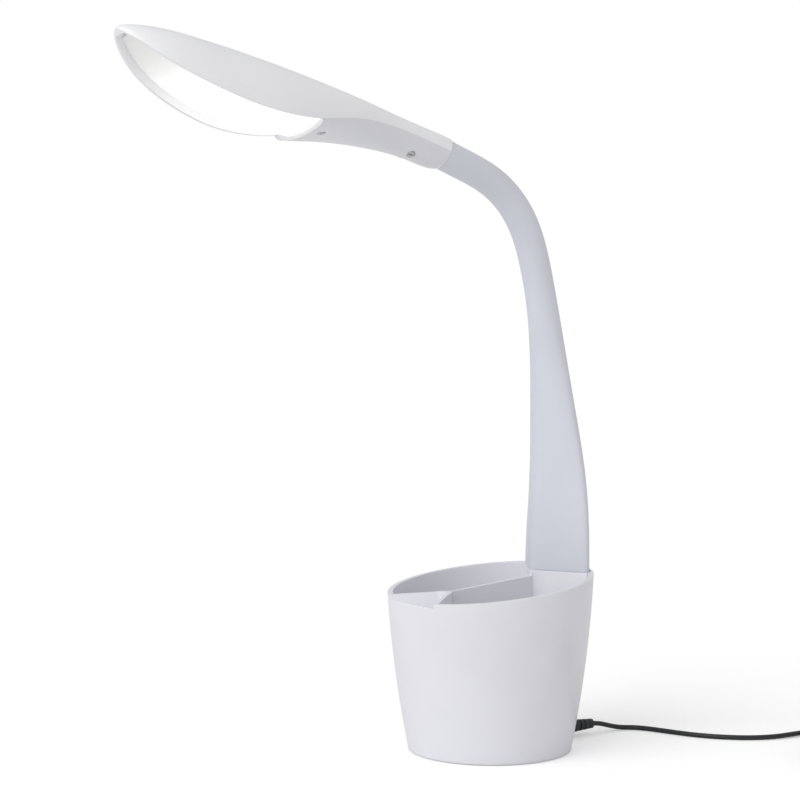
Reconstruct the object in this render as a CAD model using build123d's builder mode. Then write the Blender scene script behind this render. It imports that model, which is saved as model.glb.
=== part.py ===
"""Desk lamp with an organizer cup for a base and a bendable, sleeved neck.

Frame: +Z up, the lamp faces -Y and its neck stands at the back (+Y). The origin is the centre of
the footprint on the table. Millimetres. The neck is drawn as it stands bent over the table.
"""

import os
from math import cos, exp, pi, radians, sin, tan

from build123d import *

# ------------------------------------------------------------------ cup
foot_drop = 0.8  # the foot pad reaches this far below the cup's edge
foot_radius = 58.6
belly_radius = 67.2
belly_height = 51.0
blank_radius = 74.6
blank_height = 132.0  # the cup's arc ends here, above the slanted rim
rim_height = 120.0  # of the rim plane at the axis
rim_tilt = 6.56  # the rim rises to the back, in degrees
wall = 4.0
floor_height = 26.0
floor_thickness = 3.0
divider_thickness = 3.4
niche_half_width = 29.0  # where the niche's two walls meet the cup's wall
niche_mouth_y = -67.5
niche_apex_y = -38.8
niche_apex_half_width = 6.5
niche_floor_slope = 14.0  # degrees down, from the front edge inwards
niche_edge_drop = 0.6
niche_skin = 2.6

# ------------------------------------------------------------------ neck seat in the cup
seat_y = 58.5
seat_half_width = 37.7
seat_rear_depth = 13.2  # of the seat's outline behind seat_y
seat_front_depth = 22.5  # and of the ridge in front of it
seat_flatness = 0.92  # of the two front faces; at 1 they would be flat
seat_height = 126.5
seat_roof = 5.0
hollow_half_width = 29.5  # of the oval hollow inside the post
hollow_half_depth = 10.8
divider_front_drop = 0.3  # of the divider's top below the rim, at its front end
divider_rear_drop = 2.0

# ------------------------------------------------------------------ inside the base
cover_thickness = 3.0
cover_gap = 0.3
boss_radius = 4.2
boss_circle = 48.0
boss_angles = (45, 135, 225, 315)
pad_margin = 2.0  # from the cup's edge wall to the foot pad
ballast_radius = 44.0
ballast_y = -4.0
ballast_thickness = 12.0
ballast_screw_x = 24.0
board_length = 46.0
board_width = 30.0
board_thickness = 1.6
board_drop = 3.0  # length of the bosses that hold the board under the floor
board_y = -10.0
board_margin = 4.0
chip_height = 2.0
screw_radius = 1.4
screw_head_radius = 2.7
screw_head_height = 1.8
screw_length = 9.0
fit_gap = 0.1
touch_radius = 5.0
touch_thickness = 0.6

# ------------------------------------------------------------------ socket and plug
jack_height = 7.6
jack_radius = 4.2
jack_bore_radius = 2.8
jack_bore_depth = 10.0
jack_length = 14.0
jack_face_y = 55.4
jack_sleeve_wall = 1.8
plug_radius = 4.6
plug_body_length = 20.0
plug_pin_radius = 2.6
plug_pin_length = 9.0
relief_length = 17.0
relief_tip_radius = 3.5
relief_grooves = 3
groove_width = 1.5
groove_depth = 1.1
slack = 0.3

# ------------------------------------------------------------------ cord
cord_radius = 1.8
# the free stretch's route after the plug: down to the table and away to the right
cord_points = [(0.1, 100.0, 7.0), (0.6, 109.0, 4.2), (2.0, 118.5, 2.0), (7.0, 128.0, 1.9),
               (18.0, 135.0, 1.8), (35.6, 141.5, 1.8), (53.0, 149.0, 1.8), (69.0, 161.0, 1.8),
               (81.5, 176.0, 1.8), (89.0, 193.0, 2.0), (91.1, 211.0, 2.6)]
coil_start = (91.2, 243.0)  # where the coil begins, running on along +Y
coil_pitch = 4.06  # from one turn to the next, and from layer to layer
coil_halves = 9  # half turns in each of the two layers
coil_inner_radius = 12.6
cord_lead = 3.6  # straight stretch at each end of the coil
tie_thickness = 0.7
tie_width = 9.0
adapter_length = 46.0
adapter_width = 29.0
adapter_height = 27.0
adapter_fillet = 3.0
adapter_offset = 7.8  # from the cable's line to the middle of the adapter
adapter_relief_length = 18.0
adapter_relief_radius = 3.6
prong_length = 17.0
prong_width = 6.3
prong_thickness = 1.5
prong_spacing = 12.7

# ------------------------------------------------------------------ neck
neck_points = [(seat_y, seat_height), (59.3, 188.0), (55.9, 241.0), (50.0, 293.5),
               (40.0, 345.7), (27.0, 380.0), (3.0, 405.0), (-41.3, 424.5)]
neck_end_rise = 24.0  # degrees above level, where the head starts
neck_radius = 11.1
flare_length = 216.0
pivot_distances = (135.0, 178.0, 214.0, 246.0, 278.0)  # along the neck, from its seat
dome_ratio = 1.24  # radius of a round joint face to the sleeve's half width there
joint_gap = 0.3
core_radius = 4.6
core_bore_radius = 2.6
core_gap = 0.2
core_tail = 52.0  # how far the core goes down into the post
core_nose = 20.0  # and on into the head
lead_radius = 2.0
bracket_thickness = 3.0
bracket_drop = 44.0  # below the seat
nut_radius = 8.0
nut_height = 6.0
clamp_length = 12.0

# ------------------------------------------------------------------ head
head_rise = 14.5
head_roll = 6.0
shell_thickness = 2.8
cover_end_thickness = 2.4  # of the wall that closes the under-cover at the lit opening
cover_end_rise = 8.0  # and its height above the edge line
seam_drop = 0.5  # of the seam below the edge line
lit_depth = 8.0  # of the sections below the edge line, where the head is open
lit_start = 115.0  # the under-cover ends here and the lit opening begins
tip_distance = 256.5
tip_level = 3.6
diffuser_recess = 5.6
diffuser_thickness = 1.8
diffuser_gap = 0.15
diffuser_sag = 10.4  # how far it hangs at its middle beside the under-cover
sag_fade = 22.0  # millimetres along the head
sag_rest = 0.8
led_board_level = -2.0
led_board_thickness = 1.6
board_screw_grip = 6.0
led_board_start = 128.0
led_board_end = 214.0
led_board_half_width = 15.0
led_size = 3.0
led_height = 1.2
led_columns = 9
led_row_offset = 8.0
head_boss_radius = 2.6
post_radius = 3.9
post_height = 8.0  # above the belly's outer face
recess_radius = 3.1
recess_depths = (2.6, 2.6, 5.0, 5.0)  # of the recesses for the screws at cover_screw_places
clamp_radius = 6.7
board_boss_distances = (140.0, 171.0, 202.0)
cover_screw_places = ((5.7, 29.0), (-5.7, 29.0), (14.5, 106.0), (-14.5, 106.0))
# distance along the head, half width, level of the edge, of the crown and of the belly
head_stations = ((0.0, 11.3, 0.6, 11.5, -11.7), (28.0, 12.9, 1.6, 12.8, -12.7),
                 (59.0, 17.9, 0.0, 14.1, -14.4), (91.0, 26.3, -7.6, 15.3, -19.4),
                 (lit_start, 32.5, -16.8, 15.8, -25.0), (140.0, 36.7, -22.6, 15.9, None),
                 (165.0, 37.3, -24.2, 15.7, None), (190.0, 34.7, -21.8, 15.1, None),
                 (215.0, 29.7, -16.5, 13.9, None), (235.0, 22.3, -9.2, 11.6, None),
                 (247.0, 14.4, -2.9, 8.9, None), (253.0, 8.2, 0.8, 6.9, None))

os.makedirs("parts", exist_ok=True)


def write_piece(builder, node):
    """Label a finished piece and write its file."""
    builder.part.label = node
    export_step(builder.part, f"parts/{node}.step")


def corner_radii(points):
    """Largest smooth arc at each corner of a route: 0.45 of its shorter run."""
    radii = []
    for before, corner, after in zip(points, points[1:], points[2:]):
        into = Vector(*corner) - Vector(*before)
        out = Vector(*after) - Vector(*corner)
        turn = radians(into.get_angle(out))
        radii.append(0.45 * min(into.length, out.length) / tan(turn / 2))
    return radii


def tube(route, radius):
    """Round tube along a route with smooth corners, and its length."""
    with BuildPart() as form:
        with BuildLine() as line:
            FilletPolyline(*route, radius=corner_radii(route))
        with BuildSketch(Plane(route[0], z_dir=Vector(*route[1]) - Vector(*route[0]))):
            Circle(radius)
        sweep()
    return form.part, line.wire().length


# ================================================================== cup
rim_plane = Plane((0, 0, rim_height)).rotated((rim_tilt, 0, 0))


def rim_level(y):
    """Height of the slanted rim plane over a point."""
    return rim_height + y * tan(radians(rim_tilt))


def cup_form(inset, low, high):
    """The cup's round body, drawn in by an inset, between two heights."""
    with BuildPart() as form:
        with BuildSketch(Plane.XZ):
            with BuildLine():
                side = ThreePointArc((foot_radius - inset, foot_drop),
                                     (belly_radius - inset, belly_height),
                                     (blank_radius - inset, blank_height))
                Polyline(side @ 1, (0, blank_height), (0, foot_drop), side @ 0)
            make_face()
        revolve(axis=Axis.Z)
        with BuildSketch(Plane.XY.offset(low)):
            Circle(2 * blank_radius)
        extrude(amount=high - low, mode=Mode.INTERSECT)
    return form.part


def niche_form(grow, low, high):
    """Prism of the V-shaped niche at the front, grown sideways and inwards."""
    with BuildPart() as form:
        with BuildSketch(Plane.XY.offset(low)):
            with BuildLine():
                left = Line((-2 * niche_half_width, 2.2 * niche_mouth_y),
                            (-niche_half_width - grow, niche_mouth_y))
                flank = Line(left @ 1, (-niche_apex_half_width - grow / 2, niche_apex_y + grow / 2 - 4))
                nose = ThreePointArc(flank @ 1, (0, niche_apex_y + grow),
                                     (niche_apex_half_width + grow / 2, niche_apex_y + grow / 2 - 4))
                Polyline(nose @ 1, (niche_half_width + grow, niche_mouth_y),
                         (2 * niche_half_width, 2.2 * niche_mouth_y), left @ 0)
            make_face()
        extrude(amount=high - low)
    return form.part


def neck_outline(plane, half_width, rear, front, flatness):
    """Face across the neck: half an oval behind, and two faces in front that meet in a ridge."""
    bulge = flatness / 2 + (1 - flatness) * sin(pi / 4)
    with BuildSketch(plane) as section:
        with BuildLine():
            back = EllipticalCenterArc((0, 0), half_width, rear, start_angle=0, arc_size=180)
            left = ThreePointArc(back @ 1, (-half_width * bulge, -front * bulge), (0, -front))
            ThreePointArc(left @ 1, (half_width * bulge, -front * bulge), back @ 0)
        make_face()
    return section.sketch.face()


def post_form(growth, low, high):
    """The post that carries the neck, with the neck's outline, between two heights."""
    with BuildPart() as form:
        add(neck_outline(Plane((0, seat_y, low)), seat_half_width + growth, seat_rear_depth + growth,
                         seat_front_depth + growth, seat_flatness))
        extrude(amount=high - low)
    return form.part


rim_front_y = 1.1 - blank_radius
niche_floor = Plane((0, rim_front_y, rim_level(rim_front_y) - niche_edge_drop)).rotated(
    (-niche_floor_slope, 0, 0))
underside = floor_height - floor_thickness
cover_top = foot_drop + cover_thickness
board_top = underside - board_drop

board_bottom = board_top - board_thickness
screw_hole = screw_radius + fit_gap / 2
head_hole = screw_head_radius + 2 * fit_gap
jack_sleeve_radius = jack_radius + fit_gap + jack_sleeve_wall
jack_back_y = jack_face_y - jack_length


def around(circle, angles):
    """Points on a circle about the lamp's axis."""
    return [(circle * cos(radians(a)), circle * sin(radians(a))) for a in angles]


boss_points = around(boss_circle, boss_angles)
board_points = [(i * (board_length / 2 - board_margin), board_y + j * (board_width / 2 - board_margin))
                for i in (-1, 1) for j in (-1, 1)]
column_x = hollow_half_width - 1.25 * boss_radius
column_points = [(-column_x, seat_y), (column_x, seat_y)]
bracket_top = seat_height - bracket_drop
rear_plane = Plane((0, jack_back_y, jack_height), x_dir=(1, 0, 0), z_dir=(0, 1, 0))

with BuildPart() as compartments:
    add(cup_form(wall, floor_height, blank_height))
    add(niche_form(wall, floor_height, blank_height), mode=Mode.SUBTRACT)
    add(post_form(0, floor_height, blank_height), mode=Mode.SUBTRACT)
    with Locations((0, seat_y + blank_radius / 2, blank_height)):
        Box(2 * seat_half_width, blank_radius, 2 * blank_height, mode=Mode.SUBTRACT)
    with Locations((0, 0, blank_height / 2)):
        Box(divider_thickness, 4 * blank_radius, 2 * blank_height, mode=Mode.SUBTRACT)

with BuildPart() as niche_under:
    add(cup_form(wall, underside - fit_gap, blank_height))
    add(niche_form(-niche_skin / 2, foot_drop, blank_height), mode=Mode.INTERSECT)
    split(bisect_by=niche_floor.offset(-niche_skin), keep=Keep.BOTTOM)

with BuildPart() as niche_pocket:
    add(niche_form(0, foot_drop, blank_height))
    split(bisect_by=niche_floor, keep=Keep.TOP)

with BuildPart() as post_hollow:
    with BuildSketch(Plane.XY.offset(underside - fit_gap)):
        with Locations((0, seat_y)):
            Ellipse(hollow_half_width, hollow_half_depth)
    extrude(amount=seat_height - seat_roof - underside)
    add(cup_form(wall, foot_drop, blank_height), mode=Mode.INTERSECT)
    with BuildSketch(Plane.XY.offset(bracket_top)):
        with Locations(*column_points):
            Circle(boss_radius)
    extrude(amount=blank_height, mode=Mode.SUBTRACT)

divider_front_y = niche_apex_y + wall + 2 * fit_gap
divider_rear_y = seat_y - seat_front_depth + slack
with BuildPart() as divider_top:
    with BuildSketch(Plane.YZ):
        with BuildLine():
            Polyline((divider_front_y, rim_level(divider_front_y) - divider_front_drop),
                     (divider_rear_y, rim_level(divider_rear_y) - divider_rear_drop),
                     (divider_rear_y, blank_height), (divider_front_y, blank_height), close=True)
        make_face()
    extrude(amount=divider_thickness, both=True)

with BuildPart() as base_cup:
    add(cup_form(0, foot_drop, blank_height))
    split(bisect_by=rim_plane, keep=Keep.BOTTOM)
    add(compartments.part, mode=Mode.SUBTRACT)
    add(niche_pocket.part, mode=Mode.SUBTRACT)
    add(cup_form(wall, foot_drop, underside), mode=Mode.SUBTRACT)
    add(niche_under.part, mode=Mode.SUBTRACT)
    # the flat seat that the neck's sleeve stands on
    add(post_form(2 * fit_gap, seat_height, blank_height + 1), mode=Mode.SUBTRACT)
    add(post_form(0, seat_height - seat_roof / 2, seat_height))
    add(divider_top.part, mode=Mode.SUBTRACT)
    add(post_hollow.part, mode=Mode.SUBTRACT)
    # bosses for the cover and the board, then their screw holes
    with BuildSketch(Plane.XY.offset(cover_top)):
        with Locations(*boss_points):
            Circle(boss_radius)
    extrude(amount=underside - cover_top + fit_gap)
    with BuildSketch(Plane.XY.offset(board_top)):
        with Locations(*board_points):
            Circle(screw_head_radius)
    extrude(amount=board_drop + fit_gap)
    with BuildSketch(Plane.XY.offset(cover_top)):
        with Locations(*boss_points):
            Circle(screw_hole)
    extrude(amount=screw_length, mode=Mode.SUBTRACT)
    with BuildSketch(Plane.XY.offset(board_top)):
        with Locations(*board_points):
            Circle(screw_hole)
    extrude(amount=board_drop + floor_thickness / 2, mode=Mode.SUBTRACT)
    with BuildSketch(Plane.XY.offset(bracket_top)):
        with Locations(*column_points):
            Circle(screw_hole)
    extrude(amount=screw_length, mode=Mode.SUBTRACT)
    # the core passes through the seat
    with BuildSketch(Plane.XY.offset(bracket_top)):
        with Locations((0, seat_y)):
            Circle(core_radius + core_gap)
    extrude(amount=bracket_drop, mode=Mode.SUBTRACT)
    # sleeve that holds the socket, and the way in for the plug
    with BuildSketch(rear_plane):
        Circle(jack_sleeve_radius)
    extrude(amount=jack_length + wall / 2)
    with BuildSketch(rear_plane):
        Circle(jack_radius + fit_gap)
    extrude(amount=jack_length, mode=Mode.SUBTRACT)
    with BuildSketch(rear_plane.offset(jack_length)):
        Circle(plug_radius + 2 * slack)
    extrude(amount=2 * wall, mode=Mode.SUBTRACT)
write_piece(base_cup, "base_cup")

# ================================================================== cover, ballast and foot pad
ballast_screw_points = [(-ballast_screw_x, ballast_y), (ballast_screw_x, ballast_y)]

with BuildPart() as bottom_cover:
    with BuildSketch(Plane.XY.offset(foot_drop)):
        Circle(foot_radius - wall - cover_gap)
        with Locations((0, jack_face_y)):
            Rectangle(2 * (jack_sleeve_radius + slack), 2 * (jack_length + slack), mode=Mode.SUBTRACT)
    extrude(amount=cover_thickness)
    with BuildSketch(Plane.XY.offset(foot_drop)):
        with Locations(*boss_points, *ballast_screw_points):
            Circle(screw_hole)
    extrude(amount=cover_thickness, mode=Mode.SUBTRACT)
    with BuildSketch(Plane.XY.offset(foot_drop)):
        with Locations(*boss_points, *ballast_screw_points):
            Circle(head_hole)
    extrude(amount=screw_head_height, mode=Mode.SUBTRACT)
write_piece(bottom_cover, "bottom_cover")

with BuildPart() as foot_pad:
    with BuildSketch():
        Circle(foot_radius - wall - pad_margin)
    extrude(amount=foot_drop)
write_piece(foot_pad, "foot_pad")

with BuildPart() as ballast:
    with BuildSketch(Plane.XY.offset(cover_top)):
        with Locations((0, ballast_y)):
            Circle(ballast_radius)
        with Locations(*boss_points):
            Circle(boss_radius + 3 * slack, mode=Mode.SUBTRACT)
        with Locations(*ballast_screw_points):
            Circle(screw_hole, mode=Mode.SUBTRACT)
    extrude(amount=ballast_thickness)
write_piece(ballast, "ballast_plate")


def screw_set(node, planes):
    """Identical pan-head screws, each standing on a plane at the outside of its head."""
    with BuildPart() as screws:
        for plane in planes:
            with BuildSketch(plane):
                Circle(screw_head_radius)
            extrude(amount=screw_head_height)
            with BuildSketch(plane):
                Rectangle(1.3 * screw_head_radius, 0.2 * screw_head_radius)
                Rectangle(0.2 * screw_head_radius, 1.3 * screw_head_radius)
            extrude(amount=screw_head_height / 2, mode=Mode.SUBTRACT)
            with BuildSketch(plane.offset(screw_head_height)):
                Circle(screw_radius)
            extrude(amount=screw_length - screw_head_height)
    write_piece(screws, node)


screw_set("cover_screws", [Plane((x, y, foot_drop)) for x, y in boss_points + ballast_screw_points])

# ================================================================== board and touch plate
with BuildPart() as control_board:
    with BuildSketch(Plane.XY.offset(board_bottom)):
        with Locations((0, board_y)):
            Rectangle(board_length, board_width)
        with Locations(*board_points):
            Circle(screw_hole, mode=Mode.SUBTRACT)
    extrude(amount=board_thickness)
write_piece(control_board, "control_board")

with BuildPart() as board_chips:
    with BuildSketch(Plane.XY.offset(board_bottom - chip_height)):
        with Locations((-board_length / 6, board_y)):
            Rectangle(board_length / 6, board_width / 4)
        with Locations((board_length / 6, board_y + board_width / 6)):
            Rectangle(board_length / 8, board_width / 6)
        with Locations((board_length / 6, board_y - board_width / 6)):
            Circle(board_width / 12)
    extrude(amount=chip_height)
write_piece(board_chips, "board_chips")

board_screw_level = board_bottom - screw_head_height
with BuildPart() as board_screws:
    with BuildSketch(Plane.XY.offset(board_screw_level)):
        with Locations(*board_points):
            Circle(screw_head_radius)
    extrude(amount=screw_head_height)
    with BuildSketch(Plane.XY.offset(board_bottom)):
        with Locations(*board_points):
            Circle(screw_radius)
    extrude(amount=board_thickness + board_drop)
write_piece(board_screws, "board_screws")

touch_plane = niche_floor.offset(-niche_skin - touch_thickness - fit_gap)
with BuildPart() as touch_plate:
    with BuildSketch(touch_plane):
        with Locations((-touch_radius * 1.6, touch_radius * 3.2)):
            Circle(touch_radius)
    extrude(amount=touch_thickness)
write_piece(touch_plate, "touch_plate")
print("touch plate at", touch_plate.part.center())

# ================================================================== neck
rise = radians(neck_end_rise)
with BuildLine() as neck_line:
    Spline(*[(0, y, z) for y, z in neck_points], tangents=((0, 0, 1), (0, -cos(rise), sin(rise))))
neck_wire = neck_line.wire()
neck_length = neck_wire.length


def neck_plane(distance):
    """Plane across the neck at a distance along it; straight on past either end."""
    inside = min(max(distance, 0.0), neck_length)
    place = neck_wire.position_at(inside, position_mode=PositionMode.LENGTH)
    along = neck_wire.tangent_at(inside, position_mode=PositionMode.LENGTH)
    return Plane(place + along * (distance - inside), x_dir=(1, 0, 0), z_dir=along)


def flare(distance):
    """1 at the seat, falling to 0 where the neck has become round."""
    return cos(pi / 2 * min(max(distance / flare_length, 0.0), 1.0)) ** 2


def sleeve_size(distance, at_seat):
    """A size of the sleeve's section, from its value at the seat to the round neck's radius."""
    return neck_radius + (at_seat - neck_radius) * flare(distance)


def neck_form(low, high):
    """The solid sleeve along the neck between two distances."""
    steps = max(2, round((high - low) / 12))
    sections = []
    for i in range(steps + 1):
        distance = low + (high - low) * i / steps
        sizes = [sleeve_size(distance, size) for size in (seat_half_width, seat_rear_depth, seat_front_depth)]
        sections.append(neck_outline(neck_plane(distance), *sizes, seat_flatness * flare(distance)))
    with BuildPart() as form:
        loft(sections=sections)
    return form.part


def round_form(low, high, radius):
    """Round rod along the neck between two distances."""
    steps = max(1, round((high - low) / 12))
    with BuildPart() as form:
        for i in range(steps + 1):
            with BuildSketch(neck_plane(low + (high - low) * i / steps)):
                Circle(radius)
        loft()
    return form.part


dome_radii = [dome_ratio * sleeve_size(d, seat_half_width) for d in pivot_distances]
joint_count = len(pivot_distances)


def ball(index, growth):
    """Ball about a pivot, out to the round joint face."""
    with BuildPart(neck_plane(pivot_distances[index])) as form:
        Sphere(dome_radii[index] + growth)
    return form.part


def beyond(index):
    """Everything past a pivot's round joint face."""
    with BuildPart(neck_plane(pivot_distances[index])) as form:
        reach = 3 * dome_radii[index]
        Cylinder(reach, reach, align=(Align.CENTER, Align.CENTER, Align.MIN))
        Sphere(dome_radii[index], mode=Mode.SUBTRACT)
    return form.part


def neck_segment(index, outer, bore, node):
    """One piece of the neck between two round joint faces, with its bore."""
    with BuildPart() as piece:
        add(outer)
        add(bore, mode=Mode.SUBTRACT)
        if index > 0:
            add(ball(index - 1, joint_gap), mode=Mode.SUBTRACT)
        if index < joint_count:
            add(beyond(index), mode=Mode.SUBTRACT)
    write_piece(piece, node)
    return piece


for k in range(joint_count + 1):
    first = k == 0
    last = k == joint_count
    low = 0.0 if first else pivot_distances[k - 1]
    high = neck_length if last else pivot_distances[k] + 1.1 * dome_radii[k]
    core_low = -core_tail if first else low
    core_high = neck_length + core_nose if last else high
    ends = 2 * slack
    sleeve_bore = round_form(low - ends, high + ends, core_radius + core_gap)
    core_bore = round_form(core_low - ends, core_high + ends, core_bore_radius)
    neck_segment(k, neck_form(low, high), sleeve_bore, f"neck_sleeve_{k + 1}")
    neck_segment(k, round_form(core_low, core_high, core_radius), core_bore, f"gooseneck_{k + 1}")
    with BuildPart() as lead:
        add(round_form(core_low, core_high, lead_radius))
        if not first:
            add(ball(k - 1, joint_gap), mode=Mode.SUBTRACT)
        if not last:
            add(beyond(k), mode=Mode.SUBTRACT)
    write_piece(lead, f"neck_lead_{k + 1}")

for k, distance in enumerate(pivot_distances):
    spot = neck_plane(distance)
    print("pivot", k + 1, [round(v, 3) for v in spot.origin], "along", [round(v, 4) for v in spot.z_dir],
          "dome", round(dome_radii[k], 2))
print("neck length", round(neck_length, 2))

# ================================================================== what holds the neck in the post

with BuildPart() as neck_bracket:
    with BuildSketch(Plane.XY.offset(bracket_top)):
        with Locations((0, seat_y)):
            Ellipse(hollow_half_width - slack, hollow_half_depth - slack)
            Circle(core_radius + fit_gap, mode=Mode.SUBTRACT)
        with Locations(*column_points):
            Circle(screw_hole, mode=Mode.SUBTRACT)
    extrude(amount=-bracket_thickness)
    add(cup_form(wall + slack, foot_drop, blank_height), mode=Mode.INTERSECT)
write_piece(neck_bracket, "neck_bracket")

with BuildPart() as neck_nuts:
    for level in (bracket_top, bracket_top - bracket_thickness - nut_height):
        with BuildSketch(Plane.XY.offset(level)):
            with Locations((0, seat_y)):
                RegularPolygon(nut_radius, 6)
                Circle(core_radius + fit_gap, mode=Mode.SUBTRACT)
        extrude(amount=nut_height)
write_piece(neck_nuts, "neck_nuts")

bracket_screw_level = bracket_top - bracket_thickness - screw_head_height
screw_set("bracket_screws", [Plane((x, y, bracket_screw_level)) for x, y in column_points])

# ================================================================== socket and plug
with BuildPart() as dc_jack:
    with BuildSketch(rear_plane):
        Circle(jack_radius)
    extrude(amount=jack_length)
    with BuildSketch(rear_plane.offset(jack_length - jack_bore_depth)):
        Circle(jack_bore_radius)
    extrude(amount=jack_bore_depth, mode=Mode.SUBTRACT)
write_piece(dc_jack, "dc_jack")

plug_start = jack_length + slack  # from the jack's back, along +Y
relief_start = plug_start + plug_body_length
with BuildPart() as dc_plug:
    with BuildSketch(rear_plane.offset(plug_start - plug_pin_length)):
        Circle(plug_pin_radius)
    extrude(amount=plug_pin_length)
    with BuildSketch(rear_plane.offset(plug_start)):
        Circle(plug_radius)
    extrude(amount=plug_body_length)
    with BuildSketch(rear_plane.offset(relief_start)):
        Circle(plug_radius)
    with BuildSketch(rear_plane.offset(relief_start + relief_length)):
        Circle(relief_tip_radius)
    loft()
    for i in range(relief_grooves):
        middle = relief_start + relief_length * (i + 1) / (relief_grooves + 1)
        with BuildSketch(rear_plane.offset(middle - groove_width / 2)):
            Circle(2 * plug_radius)
            Circle(plug_radius - groove_depth, mode=Mode.SUBTRACT)
        extrude(amount=groove_width, mode=Mode.SUBTRACT)
write_piece(dc_plug, "dc_plug")
plug_end_y = jack_back_y + relief_start + relief_length

# ================================================================== head
tilt = radians(head_rise)
roll = radians(head_roll)
head_ahead = Vector(0, -cos(tilt), sin(tilt))
head_up = Vector(-sin(roll), sin(tilt) * cos(roll), cos(tilt) * cos(roll))
head_right = head_up.cross(head_ahead)
head_frame = Plane(neck_plane(neck_length).origin, x_dir=head_right, z_dir=head_ahead)
head_end = Plane(head_frame.origin, x_dir=head_right, z_dir=neck_plane(neck_length).z_dir)


def station_plane(distance):
    """Plane across the head; the first one is the slanted face that meets the neck."""
    if distance <= 0:
        return head_end.offset(distance)
    return head_frame.offset(distance)


def up_plane(x, level, distance):
    """Plane that faces the head's crown, at a place in the head."""
    place = head_frame.from_local_coords(Vector(x, level, distance))
    return Plane(place, x_dir=head_frame.x_dir, z_dir=head_frame.y_dir)


def station_at(distance, column):
    """Value of a column of the head's stations, in line between two stations."""
    for low, high in zip(head_stations, head_stations[1:]):
        if low[0] <= distance <= high[0]:
            share = (distance - low[0]) / (high[0] - low[0])
            return low[column] + share * (high[column] - low[column])
    raise ValueError(f"no station at {distance}")


def belly_at(x, distance):
    """Level of the under-cover's outer face."""
    width = station_at(distance, 1)
    edge = station_at(distance, 2)
    return edge - (edge - station_at(distance, 4)) * (1 - (x / width) ** 2) ** 0.5


def head_blank(inset, tip):
    """The whole head as if it were closed below too: half an oval above the edge line and half below."""
    rows = head_stations if tip else [(-1.0, *head_stations[0][1:]), *head_stations]
    faces = []
    for distance, width, edge, crown, belly in rows:
        depth = edge - belly if belly else lit_depth
        with BuildSketch(station_plane(distance)) as section:
            with BuildLine():
                arch = EllipticalCenterArc((0, edge), width - inset, crown - edge - inset,
                                           start_angle=0, arc_size=180)
                EllipticalCenterArc((0, edge), width - inset, depth - inset, start_angle=180,
                                    arc_size=180)
            make_face()
        faces.append(section.sketch.face())
    if tip:
        faces.append(Vertex(*head_frame.from_local_coords(Vector(0, tip_level, tip_distance))))
    with BuildPart() as form:
        loft(sections=faces)
    return form.part


def rod(x, distance, low, high, radius):
    """Upright rod in the head, from one level to another."""
    with BuildPart() as form:
        with BuildSketch(up_plane(x, low, distance)):
            Circle(radius)
        extrude(amount=high - low)
    return form.part


head_outer = head_blank(0, True)
head_inner = head_blank(shell_thickness, False)
lit_plane = head_frame.offset(lit_start)
cover_end_plane = head_frame.offset(lit_start - cover_end_thickness)

# everything above the edge line, which the shell and the under-cover share as their seam
edge_points = [(distance, edge - seam_drop) for distance, _, edge, _, _ in head_stations]
tip_seam = tip_level - seam_drop
before, after = -station_at(28.0, 1), tip_distance + 6 * slack
with BuildPart() as above_edge:
    with BuildSketch(Plane(head_frame.origin, x_dir=head_ahead, z_dir=head_right * -1)):
        with BuildLine():
            seam = Spline((before, edge_points[0][1]), *edge_points, (tip_distance, tip_seam),
                          (after, tip_seam + 4 * slack))
            Polyline(seam @ 1, (after, 2 * blank_radius), (before, 2 * blank_radius), seam @ 0)
        make_face()
    extrude(amount=blank_radius, both=True)

with BuildPart() as head_bosses:
    for x, distance in cover_screw_places:
        level = belly_at(x, distance) + post_height
        add(rod(x, distance, level, station_at(distance, 3), head_boss_radius))
    for distance in board_boss_distances:
        low = led_board_level + led_board_thickness
        add(rod(0, distance, low, station_at(distance, 3), head_boss_radius))
    add(head_blank(shell_thickness / 2, False), mode=Mode.INTERSECT)

with BuildPart() as head_shell:
    add(head_outer)
    add(above_edge.part, mode=Mode.INTERSECT)
    add(head_inner, mode=Mode.SUBTRACT)
    add(head_bosses.part)
    for x, distance in cover_screw_places:
        level = belly_at(x, distance) + post_height
        add(rod(x, distance, level, level + screw_length, screw_hole), mode=Mode.SUBTRACT)
    for distance in board_boss_distances:
        low = led_board_level + led_board_thickness
        add(rod(0, distance, low, low + board_screw_grip, screw_hole), mode=Mode.SUBTRACT)
write_piece(head_shell, "head_shell")

with BuildPart() as cover_blank:
    add(head_outer)
    add(above_edge.part, mode=Mode.SUBTRACT)
    split(bisect_by=lit_plane, keep=Keep.BOTTOM)

with BuildPart() as cover_hollow:
    add(head_inner)
    split(bisect_by=cover_end_plane, keep=Keep.BOTTOM)

with BuildPart() as cover_end:
    add(head_blank(shell_thickness + 2 * fit_gap, False))
    split(bisect_by=lit_plane, keep=Keep.BOTTOM)
    split(bisect_by=cover_end_plane, keep=Keep.TOP)
    split(bisect_by=up_plane(0, station_at(lit_start, 2) + cover_end_rise, lit_start), keep=Keep.BOTTOM)

with BuildPart() as cover_posts:
    for x, distance in cover_screw_places:
        level = belly_at(x, distance)
        add(rod(x, distance, level - post_height, level + post_height, post_radius))
    add(cover_blank.part, mode=Mode.INTERSECT)

with BuildPart() as under_cover:
    add(cover_blank.part)
    add(cover_hollow.part, mode=Mode.SUBTRACT)
    add(cover_end.part)
    add(cover_posts.part)
    for (x, distance), depth in zip(cover_screw_places, recess_depths):
        level = belly_at(x, distance)
        add(rod(x, distance, level - post_height, level + depth, recess_radius), mode=Mode.SUBTRACT)
        add(rod(x, distance, level, level + post_height + 1, screw_hole), mode=Mode.SUBTRACT)
write_piece(under_cover, "under_cover")

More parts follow.
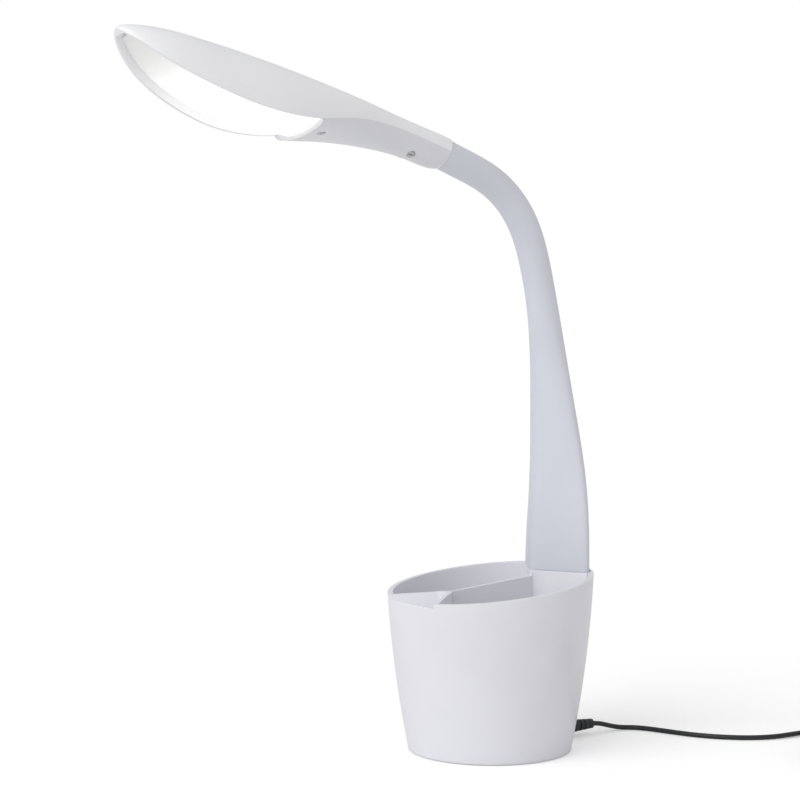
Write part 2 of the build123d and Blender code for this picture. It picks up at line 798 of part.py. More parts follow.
screw_seat = screw_head_height + fit_gap / 2
screw_set("head_screws", [up_plane(x, belly_at(x, distance) + depth - screw_seat, distance)
                          for (x, distance), depth in zip(cover_screw_places, recess_depths)])


def diffuser_form(lift):
    """Space above the lit opening, from the diffuser's lower face up to its edge line."""
    start = lit_start + fit_gap
    rows = [(start, station_at(start, 1), station_at(start, 2))]
    rows += [(d, w, e) for d, w, e, _, _ in head_stations if start < d < 250]
    with BuildPart() as form:
        for distance, width, edge in rows:
            half = width - shell_thickness - diffuser_gap
            level = edge + diffuser_recess + lift
            sag = diffuser_sag * exp((rows[0][0] - distance) / sag_fade) + sag_rest
            with BuildSketch(station_plane(distance)):
                with BuildLine():
                    bowl = EllipticalCenterArc((0, level), half, sag, start_angle=180, arc_size=180)
                    Polyline(bowl @ 1, (half, level + diffuser_thickness),
                             (-half, level + diffuser_thickness), bowl @ 0)
                make_face()
        loft()
    return form.part


with BuildPart() as diffuser:
    add(diffuser_form(0))
    add(diffuser_form(diffuser_thickness), mode=Mode.SUBTRACT)
    add(head_blank(shell_thickness + diffuser_gap, False), mode=Mode.INTERSECT)
write_piece(diffuser, "diffuser")

led_middle = (led_board_start + led_board_end) / 2
led_board_length = led_board_end - led_board_start
board_plane = up_plane(0, led_board_level, led_middle)
board_screw_spots = [(0, led_middle - d) for d in board_boss_distances]
with BuildPart() as led_board:
    with BuildSketch(board_plane):
        Rectangle(2 * led_board_half_width, led_board_length)
        with Locations(*board_screw_spots):
            Circle(screw_hole, mode=Mode.SUBTRACT)
    extrude(amount=led_board_thickness)
write_piece(led_board, "led_board")

led_step = (led_board_length - 2 * led_size) / (led_columns - 1)
with BuildPart() as leds:
    with BuildSketch(board_plane):
        with GridLocations(2 * led_row_offset, led_step, 2, led_columns):
            Rectangle(led_size, led_size)
    extrude(amount=-led_height)
write_piece(leds, "leds")

with BuildPart() as led_board_screws:
    with BuildSketch(board_plane.offset(-screw_head_height)):
        with Locations(*board_screw_spots):
            Circle(screw_head_radius)
    extrude(amount=screw_head_height)
    with BuildSketch(board_plane):
        with Locations(*board_screw_spots):
            Circle(screw_radius)
    extrude(amount=led_board_thickness + board_screw_grip - fit_gap)
write_piece(led_board_screws, "led_board_screws")

clamp_plane = neck_plane(neck_length + slack)
with BuildPart() as neck_clamp:
    with BuildSketch(clamp_plane):
        Circle(clamp_radius)
        Circle(core_radius + fit_gap, mode=Mode.SUBTRACT)
    extrude(amount=clamp_length)
write_piece(neck_clamp, "neck_clamp")

# ================================================================== leads inside the base and the head
lead_level = (board_top + board_bottom) / 2 + fit_gap
base_route = [(0, seat_y, seat_height - core_tail), (0, seat_y, 40.0), (0, seat_y - 6.0, lead_level),
              (0, board_y + board_width / 2 + fit_gap, lead_level)]
with BuildPart() as base_lead:
    add(tube(base_route, lead_radius)[0])
write_piece(base_lead, "base_lead")

core_end = neck_plane(neck_length + core_nose)
lead_way = [(0, 0.0, 64.0), (0, led_board_level + led_board_thickness / 2, 98.0),
            (0, led_board_level + led_board_thickness / 2, led_board_start - fit_gap)]
head_route = [core_end.origin, core_end.origin + core_end.z_dir * 14]
head_route += [head_frame.from_local_coords(Vector(*spot)) for spot in lead_way]
with BuildPart() as head_lead:
    add(tube([tuple(spot) for spot in head_route], lead_radius)[0])
write_piece(head_lead, "head_lead")

# ================================================================== cord
coil_level = cord_radius + tie_thickness + fit_gap
upper_level = coil_level + coil_pitch
route = [(0, plug_end_y, jack_height), *cord_points, (coil_start[0], coil_start[1] - cord_lead, coil_level)]
print("cord radii in diameters", [round(r / (2 * cord_radius), 1) for r in corner_radii(route)])
cord_form, cord_length = tube(route, cord_radius)
with BuildPart() as power_cord:
    add(cord_form)
write_piece(power_cord, "power_cord")
print("cord tube", round(cord_length, 1), "volume over section times length",
      round(power_cord.part.volume / (pi * cord_radius**2 * cord_length), 4))

# the put-away coil: half turns that wind in below, climb, and wind out above
growth = coil_pitch / 2
half_radii = [coil_inner_radius + growth * (coil_halves - k) for k in range(coil_halves)]
climb = coil_pitch / (2 * coil_inner_radius)  # sine of the climbing half turn's tilt
climb_cosine = (1 - climb**2) ** 0.5
coil_arcs = []
spot = Vector(coil_start[0], coil_start[1], coil_level)
heading = 1
half_turns = [(r, 0, 1) for r in half_radii]
half_turns.append((coil_inner_radius, climb, climb_cosine))
half_turns += [(r, 0, 1) for r in reversed(half_radii)]
for radius, sine, cosine in half_turns:
    middle = spot + Vector(heading * radius * cosine, heading * radius, radius * sine)
    finish = spot + Vector(2 * heading * radius * cosine, 0, 2 * radius * sine)
    coil_arcs.append((spot, middle, finish))
    spot = finish
    heading = -heading
coil_end = spot + Vector(0, heading * cord_lead, 0)

with BuildPart() as cord_coil:
    with BuildLine() as coil_line:
        Line((coil_start[0], coil_start[1] - cord_lead, coil_level), coil_arcs[0][0])
        for arc in coil_arcs:
            ThreePointArc(*arc)
        Line(spot, coil_end)
    with BuildSketch(Plane((coil_start[0], coil_start[1] - cord_lead, coil_level), z_dir=(0, 1, 0))):
        Circle(cord_radius)
    sweep()
write_piece(cord_coil, "cord_coil")
coil_length = coil_line.wire().length
samples = [coil_line.wire().position_at(i / 1100) for i in range(1101)]
apart = round(8 * cord_radius / coil_length * 1100)
nearest = min((samples[i] - samples[j]).length for i in range(1101) for j in range(i + apart, 1101))
print("coil", round(coil_length, 1), "least gap to itself", round(nearest - 2 * cord_radius, 3),
      "cord in all", round(cord_length + coil_length, 1), "coil end", coil_end, "heading", heading)

tie_centre_x = coil_start[0] + half_radii[0]
tie_inner = coil_inner_radius - cord_radius - 4 * slack
tie_outer = half_radii[0] + cord_radius + 4 * slack
tie_top = upper_level + cord_radius + slack
with BuildPart() as coil_tie:
    with BuildSketch(Plane((tie_centre_x, coil_start[1], 0), x_dir=(0, 1, 0), z_dir=(1, 0, 0))):
        with Locations(((tie_inner + tie_outer) / 2, (tie_top + tie_thickness) / 2)):
            RectangleRounded(tie_outer - tie_inner + 2 * tie_thickness, tie_top + tie_thickness,
                             cord_radius + tie_thickness)
            RectangleRounded(tie_outer - tie_inner, tie_top - tie_thickness, cord_radius,
                             mode=Mode.SUBTRACT)
    extrude(amount=tie_width / 2, both=True)
write_piece(coil_tie, "coil_tie")

relief_low = Plane(coil_end, z_dir=(0, heading, 0))
adapter_x = coil_end.X + adapter_offset
adapter_y = coil_end.Y + heading * (adapter_relief_length + adapter_length / 2)
with BuildPart() as wall_adapter:
    with Locations((adapter_x, adapter_y, adapter_height / 2)):
        Box(adapter_width, adapter_length, adapter_height)
    fillet(wall_adapter.edges(), radius=adapter_fillet)
    with BuildSketch(relief_low):
        Circle(cord_radius + 2 * slack)
    with BuildSketch(relief_low.offset(adapter_relief_length)):
        Circle(adapter_relief_radius)
    loft()
write_piece(wall_adapter, "wall_adapter")

prong_plane = Plane((adapter_x + adapter_width / 2, adapter_y, adapter_height / 2), x_dir=(0, 1, 0),
                    z_dir=(1, 0, 0))
with BuildPart() as adapter_prongs:
    with BuildSketch(prong_plane):
        with GridLocations(prong_spacing, 0, 2, 1):
            Rectangle(prong_thickness, prong_width)
    extrude(amount=prong_length)
write_piece(adapter_prongs, "adapter_prongs")
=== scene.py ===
# %% [markdown]
# # A desk lamp on an organizer cup
# A white lamp stands in a round cup with two compartments. A silicone-sleeved neck rises from the
# cup's rear edge and bends over the table to a leaf-shaped head. The solids of every piece come from
# the frame; this lesson gives them their finishes and adds the pieces that must be softer or rounder
# than the solids. Everything is in metres, with +Z up and the front of the lamp towards -Y.

# %% Load the frame
import bpy
import numpy as np
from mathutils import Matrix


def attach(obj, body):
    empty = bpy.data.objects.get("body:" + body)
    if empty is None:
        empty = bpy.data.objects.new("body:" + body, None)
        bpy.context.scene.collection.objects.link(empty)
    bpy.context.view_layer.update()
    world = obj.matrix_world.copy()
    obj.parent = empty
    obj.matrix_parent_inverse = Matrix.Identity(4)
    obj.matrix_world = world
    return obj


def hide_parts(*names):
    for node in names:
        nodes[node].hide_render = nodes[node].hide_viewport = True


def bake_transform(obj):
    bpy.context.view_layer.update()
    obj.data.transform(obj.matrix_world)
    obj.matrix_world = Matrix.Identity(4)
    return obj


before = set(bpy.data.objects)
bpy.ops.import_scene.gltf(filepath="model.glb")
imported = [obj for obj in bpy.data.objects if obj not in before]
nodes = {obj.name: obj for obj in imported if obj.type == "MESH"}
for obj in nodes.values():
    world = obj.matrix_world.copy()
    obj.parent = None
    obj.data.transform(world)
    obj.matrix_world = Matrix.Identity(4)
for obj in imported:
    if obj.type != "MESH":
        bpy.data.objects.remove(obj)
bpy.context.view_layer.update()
scene = bpy.context.scene
MM = 0.001

# %% [markdown]
# ## The camera
# The photograph was taken with a long lens, level with the lower part of the lamp, from its front
# right. A camera is easiest to aim with three directions worked out one by one: ahead, right and up. The
# lamp stands right of the middle, so the camera looks a little to the left of it and slightly down.

# %% Place the camera
camera_azimuth, camera_distance, camera_height = np.radians(55.0), 1.400, 0.306
camera_pitch, camera_yaw = np.radians(2.2595), np.radians(2.6404)
camera_lens, camera_sensor = 88.02, 36.0

side = np.array([np.cos(camera_azimuth), np.sin(camera_azimuth), 0.0])
level_ahead = np.array([-np.sin(camera_azimuth), np.cos(camera_azimuth), 0.0])
turned = np.cos(camera_yaw) * level_ahead - np.sin(camera_yaw) * side
ahead = np.cos(camera_pitch) * turned - np.array([0, 0, np.sin(camera_pitch)])
right = np.cross(ahead, (0, 0, 1.0))
right /= np.linalg.norm(right)
up = np.cross(right, ahead)

camera = bpy.data.objects.new("camera", bpy.data.cameras.new("camera"))
scene.collection.objects.link(camera)
camera.data.lens = camera_lens
camera.data.sensor_width = camera_sensor
place = np.eye(4)
place[:3, 0], place[:3, 1], place[:3, 2] = right, up, -ahead
place[:3, 3] = -level_ahead * camera_distance + np.array([0, 0, camera_height])
camera.matrix_world = place.T
scene.camera = camera
print("camera at", np.round(place[:3, 3], 3))

# %% [markdown]
# ## The power cord
# A thin lead leaves the plug at the back of the cup, drops to the table and runs off to the right. The
# length that the photograph doesn't show is wound into a flat coil beside the lamp and held by a tie,
# and it ends in a wall adapter. A lead is one smooth curve, so a NURBS spline of order 3 follows a few
# route points. The coil is more points of the same spline: half turns about two centres, each a step
# smaller than the last, then one tilted half turn up to the next layer, and half turns out again.

# %% Draw the cord
cord_radius = 1.8
cord_exit = (0.0, 92.7, 7.6)
cord_route = [cord_exit, (0.1, 100.0, 7.0), (0.6, 109.0, 4.2), (2.0, 118.5, 2.0), (7.0, 128.0, 1.9),
              (18.0, 135.0, 1.8), (35.6, 141.5, 1.8), (53.0, 149.0, 1.8), (69.0, 161.0, 1.8),
              (81.5, 176.0, 1.8), (89.0, 193.0, 2.0), (91.1, 211.0, 2.6), (91.2, 239.4, 2.6)]
coil_pitch, coil_inner, coil_halves = 4.06, 12.6, 9
points_per_half = 8
coil_start, coil_tail = (91.2, 243.0, 2.6), 3.6


def half_turn(start, heading, radius, sine):
    """Control points of one half turn: at radius r over cos(pi/16), at eighths of the half turn, so
    that the spline itself runs at r. A sine other than 0 tilts it upwards."""
    angle = (np.arange(points_per_half) + 0.5) * np.pi / points_per_half
    reach = radius / np.cos(np.pi / (2 * points_per_half))
    across = radius - reach * np.cos(angle)
    tilt_cosine = np.sqrt(1 - sine**2)
    offsets = np.stack([heading * tilt_cosine * across, heading * reach * np.sin(angle),
                        sine * across], axis=1)
    end = start + np.array([2 * heading * radius * tilt_cosine, 0, 2 * radius * sine])
    return start + offsets, end


winding_in = [(coil_inner + coil_pitch / 2 * (coil_halves - k), 0.0) for k in range(coil_halves)]
climb = (coil_inner, coil_pitch / (2 * coil_inner))
spot, heading, coil_points = np.array(coil_start), 1, []
for radius, sine in winding_in + [climb] + winding_in[::-1]:
    points, spot = half_turn(spot, heading, radius, sine)
    coil_points.append(points)
    heading = -heading
coil_end = spot + np.array([0, heading * coil_tail, 0])
cord_points = np.concatenate([np.array(cord_route), *coil_points, [coil_end]]) * MM


def nurbs_cord(name, points, radius):
    """A smooth open NURBS curve of order 3 through control points, with a round section: each
    point's own radius times a bevel depth of one, so that the curve's box is as thick as the cord."""
    curve = bpy.data.curves.new(name, "CURVE")
    curve.dimensions = "3D"
    spline = curve.splines.new("NURBS")
    spline.points.add(len(points) - 1)
    spline.points.foreach_set("co", np.column_stack([points, np.ones(len(points))]).ravel())
    spline.points.foreach_set("radius", np.full(len(points), radius))
    spline.order_u = 3
    spline.use_endpoint_u = True
    spline.resolution_u = 4
    curve.bevel_depth = 1.0
    curve.bevel_resolution = 5
    curve.use_fill_caps = True
    piece = bpy.data.objects.new(name, curve)
    scene.collection.objects.link(piece)
    return piece


cord = nurbs_cord("cord", cord_points, cord_radius * MM)
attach(cord, "base")
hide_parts("power_cord", "cord_coil")
print("cord has", len(cord_points), "control points")

# %% [markdown]
# ## Finishes
# Almost everything here is moulded plastic or silicone. Such a surface is never one flat colour: the
# tone drifts a little over the piece, and a fine texture breaks up its gloss. One helper makes both
# from noise on Object coordinates, so the pattern stays still when the piece moves.


# %% Make a moulded finish
def moulded(name, colour, roughness, grain=900.0, relief=0.03, drift=0.02, metallic=0.0, sheen=0.0,
            coat=0.0):
    """Plastic, rubber or metal: base colour times (1 +- drift) by broad noise, roughness varied by
    fine noise, and a bump of that fine noise as the mould's texture."""
    material = bpy.data.materials.new(name)
    material.use_nodes = True
    tree = material.node_tree
    shader = tree.nodes["Principled BSDF"]
    shader.inputs["Metallic"].default_value = metallic
    shader.inputs["Sheen Weight"].default_value = sheen
    shader.inputs["Coat Weight"].default_value = coat
    shader.inputs["Coat Roughness"].default_value = 0.12
    where = tree.nodes.new("ShaderNodeTexCoord")

    broad = tree.nodes.new("ShaderNodeTexNoise")
    broad.inputs["Scale"].default_value = 18.0
    broad.inputs["Detail"].default_value = 2.0
    tree.links.new(where.outputs["Object"], broad.inputs["Vector"])
    tone = tree.nodes.new("ShaderNodeValToRGB")
    low, high = (np.array(colour) * (1 - drift), np.minimum(np.array(colour) * (1 + drift), 1.0))
    tone.color_ramp.elements[0].color = (*low, 1.0)
    tone.color_ramp.elements[1].color = (*high, 1.0)
    tone.color_ramp.elements[0].position = 0.3
    tone.color_ramp.elements[1].position = 0.7
    tree.links.new(broad.outputs["Fac"], tone.inputs["Fac"])
    tree.links.new(tone.outputs["Color"], shader.inputs["Base Color"])

    fine = tree.nodes.new("ShaderNodeTexNoise")
    fine.inputs["Scale"].default_value = grain
    fine.inputs["Detail"].default_value = 3.0
    tree.links.new(where.outputs["Object"], fine.inputs["Vector"])
    rough = tree.nodes.new("ShaderNodeMapRange")
    rough.inputs["To Min"].default_value = roughness * 0.88
    rough.inputs["To Max"].default_value = roughness * 1.12
    tree.links.new(fine.outputs["Fac"], rough.inputs["Value"])
    tree.links.new(rough.outputs["Result"], shader.inputs["Roughness"])
    bump = tree.nodes.new("ShaderNodeBump")
    bump.inputs["Strength"].default_value = relief
    bump.inputs["Distance"].default_value = 0.0002
    tree.links.new(fine.outputs["Fac"], bump.inputs["Height"])
    tree.links.new(bump.outputs["Normal"], shader.inputs["Normal"])
    return material


def paint(material, *names):
    """Gives frame nodes, by name, a finish."""
    for name in names:
        mesh = nodes[name].data
        mesh.materials.clear()
        mesh.materials.append(material)


# %% Choose the colours
cup_finish = moulded("cup_satin_plastic", (0.80, 0.80, 0.85), 0.30, relief=0.02, coat=0.15)
# The head shell's white is lighter than the cup's, which is painted light on the head's lit top. The
# under cover's white is darker than the head shell's, which is painted shade on the head's underside.
head_plastic_painted_light = moulded("head_satin_plastic_painted_light", (0.94, 0.94, 0.96), 0.30, relief=0.02, coat=0.15)
under_plastic_painted_shade = moulded("under_satin_plastic_painted_shade", (0.78, 0.78, 0.82), 0.30, relief=0.02, coat=0.15)
sleeve_finish = moulded("sleeve_silicone", (0.70, 0.72, 0.79), 0.55, grain=1400, relief=0.05, sheen=0.1)
inner_white = moulded("inner_plastic", (0.72, 0.72, 0.74), 0.45)
black_rubber = moulded("black_rubber", (0.018, 0.019, 0.021), 0.42, relief=0.06)
black_plastic = moulded("black_plastic", (0.022, 0.022, 0.024), 0.5, grain=1600, relief=0.12)
foot_foam = moulded("foot_foam", (0.05, 0.05, 0.055), 0.85, grain=2200, relief=0.4)
iron = moulded("cast_iron", (0.12, 0.12, 0.125), 0.6, grain=500, relief=0.4, metallic=1.0)
steel = moulded("screw_steel", (0.62, 0.61, 0.6), 0.28, metallic=1.0)
brass = moulded("machined_brass", (0.75, 0.55, 0.25), 0.3, metallic=1.0)
prong_plate = moulded("prong_nickel", (0.72, 0.69, 0.62), 0.22, metallic=1.0)
board_green = moulded("board_green", (0.02, 0.12, 0.05), 0.35, drift=0.1)
board_white = moulded("board_white", (0.75, 0.75, 0.73), 0.4)
copper = moulded("touch_copper", (0.72, 0.38, 0.22), 0.3, metallic=1.0)
phosphor = moulded("led_phosphor", (0.85, 0.75, 0.2), 0.35)

cord.data.materials.append(black_rubber)
paint(cup_finish, "base_cup")
paint(inner_white, "bottom_cover")
paint(foot_foam, "foot_pad")
paint(iron, "ballast_plate")
paint(steel, "cover_screws", "board_screws", "bracket_screws", "head_screws", "led_board_screws",
      "neck_bracket", "neck_clamp", *[f"gooseneck_{k}" for k in range(1, 7)])
paint(brass, "neck_nuts")
paint(sleeve_finish, *[f"neck_sleeve_{k}" for k in range(1, 7)])
paint(black_rubber, "dc_plug", "coil_tie", "base_lead", "head_lead",
      *[f"neck_lead_{k}" for k in range(1, 7)])
paint(black_plastic, "dc_jack", "wall_adapter", "board_chips")
paint(prong_plate, "adapter_prongs")
paint(board_green, "control_board")
paint(board_white, "led_board")
paint(copper, "touch_plate")
paint(phosphor, "leds")
# The head shell gets the lighter white with painted light, and the under cover the darker white with
# painted shade.
paint(head_plastic_painted_light, "head_shell")
paint(under_plastic_painted_shade, "under_cover")

# %% [markdown]
# ## The lit diffuser
# Behind the head's opening lies a milky sheet, lit from behind. It is bright all over and falls off
# into a soft grey towards the tip, where no lamp sits behind it. A ramp along the head drives the glow.

# %% Make the glow
dark_y, bright_y, dark_glow, bright_glow = -0.275, -0.215, 0.05, 0.7
glow = moulded("lit_diffuser", (0.92, 0.92, 0.91), 0.5, relief=0.01, drift=0.005)
tree = glow.node_tree
where = tree.nodes.new("ShaderNodeTexCoord")
apart = tree.nodes.new("ShaderNodeSeparateXYZ")
tree.links.new(where.outputs["Object"], apart.inputs["Vector"])
fall = tree.nodes.new("ShaderNodeMapRange")
fall.interpolation_type = "SMOOTHSTEP"
fall.inputs["From Min"].default_value = dark_y
fall.inputs["From Max"].default_value = bright_y
fall.inputs["To Min"].default_value = dark_glow
fall.inputs["To Max"].default_value = bright_glow
tree.links.new(apart.outputs["Y"], fall.inputs["Value"])
tree.links.new(fall.outputs["Result"], tree.nodes["Principled BSDF"].inputs["Emission Strength"])
tree.nodes["Principled BSDF"].inputs["Emission Color"].default_value = (1.0, 0.99, 0.96, 1.0)
paint(glow, "diffuser")

# %% [markdown]
# ## Softer edges on moulded pieces
# A mould leaves every edge slightly round, and it is those rounds that catch the light along the cup's
# rim. The frame's solids have sharp edges, so welding their triangles and bevelling only the sharp
# edges gives the rounds without moving a wall.


# %% Round the edges
weld_reach, sharp_edge, edge_segments = 2e-6, np.radians(40.0), 3


def round_edges(name, width):
    """Welds a frame node's triangles, bevels its sharp edges and keeps flat faces flat in the
    shading."""
    piece = nodes[name]
    weld = piece.modifiers.new("weld", "WELD")
    weld.merge_threshold = weld_reach
    bevel = piece.modifiers.new("bevel", "BEVEL")
    bevel.width = width * MM
    bevel.segments = edge_segments
    bevel.limit_method = "ANGLE"
    bevel.angle_limit = sharp_edge
    bevel.harden_normals = True
    piece.data.polygons.foreach_set("use_smooth", np.ones(len(piece.data.polygons), bool))


edge_widths = {"base_cup": 1.1, "head_shell": 1.0, "under_cover": 0.4, "diffuser": 0.3,
               "wall_adapter": 0.3, "dc_plug": 0.3, "coil_tie": 0.2}
for name, width in edge_widths.items():
    round_edges(name, width)

# %% [markdown]
# ## The neck's sleeve
# One silicone sleeve runs from the cup to the head. At the cup it is wide, with a rounded back and two
# faces in front that meet in a ridge, and it narrows to a round tube. It bends with the metal core
# inside it. The frame has it in rigid lengths that turn about five pivots, so the skin is made in five
# lengths too, each spanning one pivot and meeting the next where both are at rest.

# %% Draw the neck's line
neck_points = np.array([(58.5, 126.5), (59.3, 188.0), (55.9, 241.0), (50.0, 293.5), (40.0, 345.7),
                        (27.0, 380.0), (3.0, 405.0), (-41.3, 424.5)])
neck_end_rise = np.radians(24.0)
line_samples, slope_reach = 4000, 0.5


def smooth_line(points, start_slope, end_slope, samples):
    """Cubic spline through points, with its parameter the length of the straight runs and its slope
    given at both ends: each inner point's second derivative solves one row of a banded system."""
    step = np.linalg.norm(np.diff(points, axis=0), axis=1)
    knots = np.concatenate([[0], np.cumsum(step)])
    count = len(points)
    matrix = np.zeros((count, count))
    wanted = np.zeros_like(points)
    rise = np.diff(points, axis=0) / step[:, None]
    inner = np.arange(1, count - 1)
    matrix[inner, inner - 1], matrix[inner, inner + 1] = step[:-1], step[1:]
    matrix[inner, inner] = 2 * (step[:-1] + step[1:])
    wanted[1:-1] = 6 * (rise[1:] - rise[:-1])
    matrix[0, :2] = 2 * step[0], step[0]
    matrix[-1, -2:] = step[-1], 2 * step[-1]
    wanted[0] = 6 * (rise[0] - start_slope)
    wanted[-1] = 6 * (end_slope - rise[-1])
    bend = np.linalg.solve(matrix, wanted)
    at = np.linspace(0, knots[-1], samples)
    run = np.clip(np.searchsorted(knots, at, side="right") - 1, 0, count - 2)
    low, high = (knots[run + 1] - at)[:, None], (at - knots[run])[:, None]
    width = step[run][:, None]
    return (bend[run] * low**3 / (6 * width) + bend[run + 1] * high**3 / (6 * width)
            + (points[run] / width - bend[run] * width / 6) * low
            + (points[run + 1] / width - bend[run + 1] * width / 6) * high)


fine_line = smooth_line(neck_points, np.array([0.0, 1.0]),
                        np.array([-np.cos(neck_end_rise), np.sin(neck_end_rise)]), line_samples)
fine_length = np.concatenate([[0], np.cumsum(np.linalg.norm(np.diff(fine_line, axis=0), axis=1))])
neck_length = fine_length[-1]


def neck_at(distance):
    """Points (y, z) and unit directions of the neck's line at distances along it."""
    points = np.stack([np.interp(distance, fine_length, fine_line[:, i]) for i in (0, 1)], axis=-1)
    near, far = np.maximum(distance - slope_reach, 0), np.minimum(distance + slope_reach, neck_length)
    ends = [np.stack([np.interp(d, fine_length, fine_line[:, i]) for i in (0, 1)], axis=-1)
            for d in (near, far)]
    along = ends[1] - ends[0]
    return points, along / np.linalg.norm(along, axis=-1, keepdims=True)


pivot_distances = np.array([135.0, 178.0, 214.0, 246.0, 278.0])
print("neck length", round(neck_length, 2), "pivots", np.round(neck_at(pivot_distances)[0], 2).tolist())

joins = np.concatenate([[0.0], (pivot_distances[1:] + pivot_distances[:-1]) / 2, [neck_length]])

# %% Make a surface from a grid


def grid_mesh(name, points):
    """Mesh of a grid of points (rows u, columns v) that closes on itself both ways, as a torus
    does: each cell is a quad."""
    rows, columns = points.shape[:2]
    u, v = [a.ravel() for a in np.meshgrid(np.arange(rows), np.arange(columns), indexing="ij")]
    after_u, after_v = (u + 1) % rows, (v + 1) % columns
    quads = np.stack([u * columns + v, u * columns + after_v, after_u * columns + after_v,
                      after_u * columns + v], axis=1)
    mesh = bpy.data.meshes.new(name)
    mesh.from_pydata((points.reshape(-1, 3) * MM).tolist(), [], quads.tolist())
    mesh.polygons.foreach_set("use_smooth", np.ones(len(mesh.polygons), bool))
    mesh.update()
    piece = bpy.data.objects.new(name, mesh)
    scene.collection.objects.link(piece)
    return piece


# %% Skin the neck
seat_half_width, seat_rear_depth, seat_front_depth, seat_flatness = 37.7, 13.2, 22.5, 0.92
neck_radius, flare_length = 11.1, 216.0
sleeve_bore, socket_bore, socket_end = 4.9, 9.5, 162.0
rear_columns, front_columns = 48, 64
corner_passes = 14
ring_spacing, least_rings = 1.6, 8
end_round = np.array([0.0, 0.15, 0.5])  # along the neck, from the end inwards
end_shrink = np.array([0.5, 0.18, 0.0])  # and the rings' inset there
cap_angle = np.radians(50)


def front_faces(half_width, front, flatness):
    """Half outlines before the neck: two arcs that meet in a ridge. Each arc runs from the side
    (w, 0) to the ridge (0, -f) through (w b, -f b), b = flatness / 2 + (1 - flatness) sin(45)."""
    bulge = flatness / 2 + (1 - flatness) * np.sin(np.pi / 4)
    side = np.stack([half_width, np.zeros_like(front)], axis=-1)
    ridge = np.stack([np.zeros_like(front), -front], axis=-1)
    middle = np.stack([half_width * bulge, -front * bulge], axis=-1)
    # the circle through the three: its centre solves two equations of equal distance
    rows = 2 * np.stack([ridge - side, middle - side], axis=-2)
    known = np.stack([(ridge**2).sum(-1) - (side**2).sum(-1), (middle**2).sum(-1) - (side**2).sum(-1)],
                     axis=-1)
    centre = np.linalg.solve(rows, known[..., None])[..., 0]
    radius = np.linalg.norm(side - centre, axis=-1)
    first, last = [np.arctan2(*(p - centre).T[::-1]) for p in (ridge, side)]
    sweep = (last - first + np.pi) % (2 * np.pi) - np.pi
    share = np.linspace(0, 1, front_columns // 2 + 1)[:-1]
    angle = first[:, None] + sweep[:, None] * share
    return centre[:, None, :] + radius[:, None, None] * np.stack([np.cos(angle), np.sin(angle)], axis=-1)


def sleeve_rings(distances, shrink):
    """Rings of the sleeve across the neck at each distance: half an oval behind, a ridged front
    before. All sizes fall from the seat's to the round neck's by a squared cosine. Each pass moves
    every point halfway to the middle of its neighbours, which rounds the three corners."""
    centre, along = neck_at(distances)
    flare = np.cos(np.pi / 2 * np.clip(distances / flare_length, 0, 1))**2
    half_width, rear, front = [neck_radius + (size - neck_radius) * flare - shrink
                               for size in (seat_half_width, seat_rear_depth, seat_front_depth)]
    angle = np.linspace(0, np.pi, rear_columns + 1)[:-1]
    back = np.stack([half_width[:, None] * np.cos(angle), rear[:, None] * np.sin(angle)], axis=-1)
    right_front = front_faces(half_width, front, seat_flatness * flare)
    corner = np.stack([-half_width, np.zeros_like(front)], axis=-1)[:, None, :]
    left_front = np.concatenate([corner, right_front[:, :0:-1] * (-1, 1)], axis=1)
    section = np.concatenate([back, left_front, right_front], axis=1)
    for _ in range(corner_passes):
        section = section / 2 + (np.roll(section, 1, axis=1) + np.roll(section, -1, axis=1)) / 4
    return np.stack([section[..., 0], centre[:, None, 0] + along[:, None, 1] * section[..., 1],
                     centre[:, None, 1] - along[:, None, 0] * section[..., 1]], axis=-1)


def bore_rings(distances, socket):
    """Rings of the round bore along the neck, in the same order as the outer rings. A socket makes
    the bore wider up to socket_end, where the core of the length below reaches in and swings."""
    centre, along = neck_at(distances)
    bore = np.where(socket & (distances < socket_end), socket_bore, sleeve_bore)[:, None]
    angle = np.concatenate([np.linspace(0, np.pi, rear_columns, endpoint=False),
                            np.linspace(np.pi, 2 * np.pi, front_columns, endpoint=False)])
    behind, across = bore * np.sin(angle), bore * np.cos(angle)
    return np.stack([across, centre[:, None, 0] + along[:, None, 1] * behind,
                     centre[:, None, 1] - along[:, None, 0] * behind], axis=-1)


def sleeve_piece(name, low, high, soft_low, soft_high, socket):
    """One length of the sleeve as a closed pipe: outer rings, then the bore's rings back. A soft end
    is rounded by rings drawn in by up to half a millimetre."""
    distances = np.linspace(low, high, max(least_rings, round((high - low) / ring_spacing)))
    outer = sleeve_rings(distances, 0)
    rings = [outer]
    if soft_low:
        rings = [sleeve_rings(low + end_round, end_shrink), outer[1:]]
    if soft_high:
        last = sleeve_rings(high - end_round[::-1], end_shrink[::-1])
        rings = rings[:-1] + [rings[-1][:-1], last]
    piece = grid_mesh(name, np.concatenate([*rings, bore_rings(distances[::-1], socket)]))
    piece.data.set_sharp_from_angle(angle=cap_angle)
    piece.data.materials.append(sleeve_finish)
    return piece


for k, pivot in enumerate(pivot_distances):
    skin = sleeve_piece(f"sleeve_skin_{k + 1}", joins[k], joins[k + 1], k == 0, k == 4, k == 1)
    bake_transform(skin)
    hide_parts(*([f"neck_sleeve_{k + 1}"] if k < 4 else ["neck_sleeve_5", "neck_sleeve_6"]))

# %% [markdown]
# ## Floor and light
# The lamp stands in a white studio. A pale floor catches a faint shadow, and a wide soft sun from the
# front left lights the near side of the cup more than its far side. The background looks white to
# the camera but gives off less light than it shows, so the pale plastic keeps its shading.

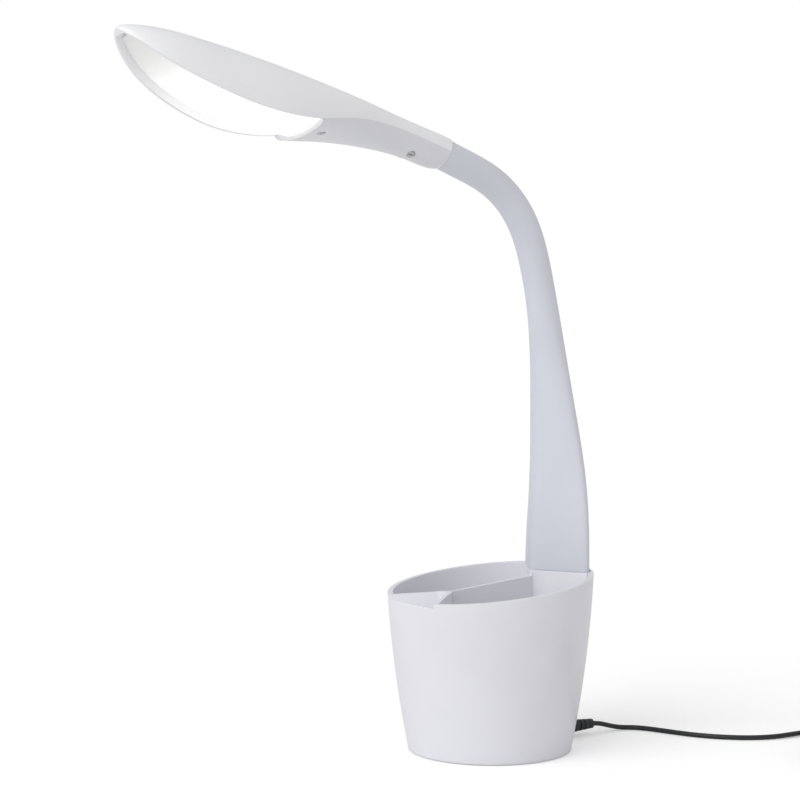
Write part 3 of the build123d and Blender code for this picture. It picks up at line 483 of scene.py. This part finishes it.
# %% Build the studio
floor_size, floor_albedo, floor_lift = 6.0, 0.9, 0.26
sky_light, sky_seen = 0.62, 1.0
floor_mesh = bpy.data.meshes.new("floor")
corner = np.array([(-1, -1, 0), (1, -1, 0), (1, 1, 0), (-1, 1, 0)]) * floor_size
floor_mesh.from_pydata(corner.tolist(), [], [(0, 1, 2, 3)])
floor = bpy.data.objects.new("floor", floor_mesh)
scene.collection.objects.link(floor)
floor_finish = bpy.data.materials.new("floor")
floor_finish.use_nodes = True
tree = floor_finish.node_tree
tree.nodes.clear()
matte = tree.nodes.new("ShaderNodeBsdfDiffuse")
matte.inputs["Color"].default_value = (floor_albedo,) * 3 + (1,)
shine = tree.nodes.new("ShaderNodeEmission")
path = tree.nodes.new("ShaderNodeLightPath")
lift = tree.nodes.new("ShaderNodeMath")
lift.operation = "MULTIPLY"
lift.inputs[1].default_value = floor_lift
tree.links.new(path.outputs["Is Camera Ray"], lift.inputs[0])
tree.links.new(lift.outputs[0], shine.inputs["Strength"])
both = tree.nodes.new("ShaderNodeAddShader")
tree.links.new(matte.outputs[0], both.inputs[0])
tree.links.new(shine.outputs[0], both.inputs[1])
out = tree.nodes.new("ShaderNodeOutputMaterial")
tree.links.new(both.outputs[0], out.inputs["Surface"])
floor_mesh.materials.append(floor_finish)

world = bpy.data.worlds.new("studio")
scene.world = world
world.use_nodes = True
tree = world.node_tree
background = tree.nodes["Background"]
background.inputs["Color"].default_value = (1, 1, 1, 1)
path = tree.nodes.new("ShaderNodeLightPath")
seen = tree.nodes.new("ShaderNodeMath")
seen.operation = "MAXIMUM"
tree.links.new(path.outputs["Is Camera Ray"], seen.inputs[0])
tree.links.new(path.outputs["Is Transmission Ray"], seen.inputs[1])
level = tree.nodes.new("ShaderNodeMapRange")
level.inputs["To Min"].default_value = sky_light
level.inputs["To Max"].default_value = sky_seen
tree.links.new(seen.outputs[0], level.inputs["Value"])
tree.links.new(level.outputs["Result"], background.inputs["Strength"])


def soft_sun(name, direction, strength, width):
    """A sun that shines along a direction, as wide in the sky as an angle in degrees."""
    lamp = bpy.data.lights.new(name, "SUN")
    lamp.energy = strength
    lamp.angle = np.radians(width)
    sun = bpy.data.objects.new(name, lamp)
    scene.collection.objects.link(sun)
    back = -np.array(direction, float)
    back /= np.linalg.norm(back)
    across = np.cross((0, 0, 1.0), back)
    across /= np.linalg.norm(across)
    turn = np.eye(4)
    turn[:3, 0], turn[:3, 1], turn[:3, 2] = across, np.cross(back, across), back
    turn[:3, 3] = back
    sun.matrix_world = turn.T


soft_sun("key", direction=(-0.15, 0.85, -0.62), strength=1.15, width=50)
scene.view_settings.view_transform = "Standard"

# %% Finish
bpy.context.view_layer.update()
